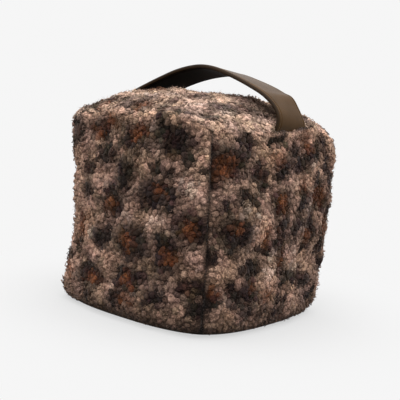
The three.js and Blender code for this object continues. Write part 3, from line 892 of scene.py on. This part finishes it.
def smooth_line(points, count):
    """Points evenly spaced along a centripetal curve through the given ones."""
    points = np.asarray(points, float)
    points = np.concatenate([[2 * points[0] - points[1]], points, [2 * points[-1] - points[-2]]])
    drawn = []
    for p0, p1, p2, p3 in zip(points, points[1:], points[2:], points[3:]):
        k1 = np.linalg.norm(p1 - p0) ** 0.5
        k2 = k1 + np.linalg.norm(p2 - p1) ** 0.5
        k3 = k2 + np.linalg.norm(p3 - p2) ** 0.5
        t = np.linspace(k1, k2, curve_steps, endpoint=False)[:, None]
        a1 = (k1 - t) / k1 * p0 + t / k1 * p1
        a2 = (k2 - t) / (k2 - k1) * p1 + (t - k1) / (k2 - k1) * p2
        a3 = (k3 - t) / (k3 - k2) * p2 + (t - k2) / (k3 - k2) * p3
        b1 = (k2 - t) / k2 * a1 + t / k2 * a2
        b2 = (k3 - t) / (k3 - k1) * a2 + (t - k1) / (k3 - k1) * a3
        drawn.append((k2 - t) / (k2 - k1) * b1 + (t - k1) / (k2 - k1) * b2)
    drawn = np.concatenate([*drawn, points[-2:-1]])
    length = np.concatenate([[0], np.cumsum(np.linalg.norm(np.diff(drawn, axis=0), axis=1))])
    even = np.linspace(0, length[-1], count)
    return np.stack([np.interp(even, length, drawn[:, k]) for k in range(drawn.shape[1])], -1)


def strap_section():
    """Half the strap's section as across and out: flat face, edge lines and rolled edges."""
    radius = strap_thickness / 2
    flat = strap_width / 2 - radius
    line = strap_width / 2 - edge_line_inset
    across = list(np.linspace(-line + edge_line_margin, line - edge_line_margin, flat_points))
    out = [radius] * flat_points
    for offset, depth in EDGE_LINE:
        across.append(line + offset)
        out.append(radius - depth)
    for turn in np.linspace(0.2, np.pi / 2, round_points):
        across.append(flat + radius * np.sin(turn))
        out.append(radius * np.cos(turn))
    across = np.array(across)
    out = np.array(out)
    left = slice(None, flat_points - 1, -1)
    return np.concatenate([-across[left], across]), np.concatenate([out[left], out])


near = smooth_line(NEAR_EDGE, strap_stations) / 1000
far = smooth_line(FAR_EDGE, strap_stations) / 1000
near = np.stack([near[:, 0], np.full(strap_stations, -strap_width / 2), near[:, 1]], -1)
far = np.stack([far[:, 0], np.full(strap_stations, strap_width / 2), far[:, 1]], -1)
middle = (near + far) / 2
across = far - near
across /= np.linalg.norm(across, axis=1)[:, None]
along = np.gradient(middle, axis=0)
along -= across * np.sum(along * across, axis=1)[:, None]
along /= np.linalg.norm(along, axis=1)[:, None]
outward = np.cross(along, across)
section_across, section_out = strap_section()
ring_across = np.concatenate([section_across, -section_across[1:-1]])
ring_out = np.concatenate([section_out, -section_out[1:-1]])
around = len(ring_across)
rings = middle[:, None] + across[:, None] * ring_across[None, :, None]
rings = rings + outward[:, None] * ring_out[None, :, None]
station = np.arange(strap_stations - 1)[:, None] * around
here = np.arange(around)[None, :]
ahead = (here + 1) % around
corners = [station + here, station + ahead, station + ahead + around, station + here + around]
strap_faces = np.stack(corners, -1).reshape(-1, 4).tolist()
first_end = list(range(around))
last_end = [(strap_stations - 1) * around + i for i in range(around)]
strap_mesh = new_mesh("strap", rings.reshape(-1, 3), [*strap_faces, first_end[::-1], last_end])
strap = placed("leather_strap", strap_mesh)


def grain_group():
    """Leather: two close tones in soft clouds, under a fine pebbled grain."""
    sockets = {"Dark": "Color", "Light": "Color", "Cloud scale": "Float", "Grain scale": "Float"}
    group = new_group("leather grain", sockets, {"Colour": "Color", "Height": "Float"})
    given = made(group, "NodeGroupInput", {})
    place = made(group, "ShaderNodeTexCoord", {})["Object"]
    clouds = cloud_noise(group, place, given["Cloud scale"], 3, 0.5)
    inputs = {"Value": clouds["Fac"], "From Min": 0.3, "From Max": 0.7}
    share = made(group, "ShaderNodeMapRange", inputs)["Result"]
    tones = {0: share, 6: given["Dark"], 7: given["Light"]}
    colour = made(group, "ShaderNodeMix", tones, data_type="RGBA")[2]
    pebbles = made(group, "ShaderNodeTexVoronoi", {"Vector": place, "Scale": given["Grain scale"]})
    made(group, "NodeGroupOutput", {"Colour": colour, "Height": pebbles["Distance"]})
    return group


def leather_material(name, dark, light, roughness, gloss):
    """Leather in two close tones, satin or matt."""
    material = bpy.data.materials.new(name)
    material.use_nodes = True
    tree = material.node_tree
    shader = tree.nodes["Principled BSDF"]
    shader.inputs["Roughness"].default_value = roughness
    shader.inputs["Specular IOR Level"].default_value = gloss
    looks = {"Dark": (*dark, 1), "Light": (*light, 1), "Cloud scale": 60, "Grain scale": 1400}
    grain = made(tree, "ShaderNodeGroup", looks, node_tree=leather_grain)
    tree.links.new(grain["Colour"], shader.inputs["Base Color"])
    bump = made(tree, "ShaderNodeBump", {"Height": grain["Height"], "Strength": 0.25, "Distance": 0.0002})
    tree.links.new(bump["Normal"], shader.inputs["Normal"])
    return material


leather_grain = grain_group()
for name, dark, light, roughness, gloss in (
    ("satin_leather", (0.055, 0.029, 0.011), (0.082, 0.044, 0.018), 0.33, 0.05),
    # The underside is painted near black as painted shade, for the shadow that it lies in.
    ("leather_lining", (0.0030, 0.0020, 0.0012), (0.006, 0.004, 0.0025), 0.65, 0.04),
    ("painted_edge", (0.020, 0.011, 0.005), (0.032, 0.018, 0.008), 0.50, 0.12),
):
    strap_mesh.materials.append(leather_material(name, dark, light, roughness, gloss))
# Each face's leather: the underside takes the painted shade, the edges their paint.
face_leather = (np.arange(around) >= len(section_across) - 1).astype(int)
face_leather[np.abs(ring_across + np.roll(ring_across, -1)) / 2 > strap_width / 2 - edge_paint_width] = 2
strap_mesh.polygons.foreach_set("material_index", [*np.tile(face_leather, strap_stations - 1).tolist(), 0, 0])
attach(strap, "root")
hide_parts("carry_strap")


# Floor, backdrop and light
# A wide pale floor that runs into a pale backdrop of the same tone, under a broad soft light from
# above and a weaker one from all round.
backdrop_tone = 0.92
floor_tone = 0.440
floor_bounce = 0.06                 # the floor's tone for the light that it throws back up
floor_size = 6.0
near_floor = (0.10, 0.24)           # how far out the floor begins to turn into backdrop, and ends to
near_floor_glow = 0.62              # share of backdrop in the floor near the object
sky_zenith = 2.50                   # the room's light from above, and from the horizon
sky_horizon = 0.76
top_light = 1.8                     # strength of a wide sun, from above and a little in front
top_light_towards = (-0.20, 0.26, -1)
top_light_spread = math.radians(90)


def grey(tone):
    return tone, tone, tone, 1


def backdrop_mask(tree):
    """1 for the rays that show floor and backdrop: straight ones, mirrored ones and ones through glass."""
    path = made(tree, "ShaderNodeLightPath", {})
    seen = calculated(tree, "MAXIMUM", path["Is Camera Ray"], path["Is Glossy Ray"])
    return calculated(tree, "MAXIMUM", seen, path["Is Transmission Ray"])


def blended(tree, share, lit, pale, output):
    """Mixes two shaders into the surface of a material or world."""
    blend = made(tree, "ShaderNodeMixShader", {0: share, 1: lit, 2: pale})
    tree.links.new(blend["Shader"], tree.nodes[output].inputs["Surface"])


floor_corners = np.array([(-1, -1, 0), (1, -1, 0), (1, 1, 0), (-1, 1, 0)]) * floor_size
floor = placed("floor", new_mesh("floor", floor_corners, [(0, 1, 2, 3)]))
paper = bpy.data.materials.new("pale_paper")
paper.use_nodes = True
tree = paper.node_tree
shader = tree.nodes["Principled BSDF"]
shader.inputs["Roughness"].default_value = 0.9
shader.inputs["Specular IOR Level"].default_value = 0.0
mask = backdrop_mask(tree)
tone = made(tree, "ShaderNodeMix", {0: mask, 6: grey(floor_bounce), 7: grey(floor_tone)}, data_type="RGBA")
tree.links.new(tone[2], shader.inputs["Base Color"])
place = made(tree, "ShaderNodeTexCoord", {})["Object"]
reach = made(tree, "ShaderNodeVectorMath", {0: place}, operation="LENGTH")["Value"]
fade = made(tree, "ShaderNodeMapRange", {
    "Value": reach, "From Min": near_floor[0], "From Max": near_floor[1], "To Min": near_floor_glow,
}, interpolation_type="SMOOTHSTEP")
share = calculated(tree, "MULTIPLY", fade["Result"], mask)
glow = made(tree, "ShaderNodeEmission", {"Color": grey(backdrop_tone)})["Emission"]
blended(tree, share, shader.outputs["BSDF"], glow, "Material Output")
floor.data.materials.append(paper)

world = bpy.data.worlds.new("world")
bpy.context.scene.world = world
world.use_nodes = True
tree = world.node_tree
lit = tree.nodes["Background"]
lit.inputs["Color"].default_value = grey(1)
direction = made(tree, "ShaderNodeTexCoord", {})["Generated"]
upward = made(tree, "ShaderNodeSeparateXYZ", {"Vector": direction})["Z"]
overhead = made(tree, "ShaderNodeMath", {0: upward, 1: 2}, operation="POWER", use_clamp=True)["Value"]
inputs = {"Value": overhead, "To Min": sky_horizon, "To Max": sky_zenith}
sky = made(tree, "ShaderNodeMapRange", inputs)["Result"]
tree.links.new(sky, lit.inputs["Strength"])
pale = made(tree, "ShaderNodeBackground", {"Color": grey(backdrop_tone)})["Background"]
blended(tree, backdrop_mask(tree), lit.outputs["Background"], pale, "World Output")

lamp_data = bpy.data.lights.new("top_light", "SUN")
lamp_data.energy = top_light
lamp_data.angle = top_light_spread
lamp = placed("top_light", lamp_data)
lamp.rotation_mode = "QUATERNION"
lamp.rotation_quaternion = Vector(top_light_towards).to_track_quat("-Z", "Y")
bpy.context.scene.view_settings.view_transform = "Standard"
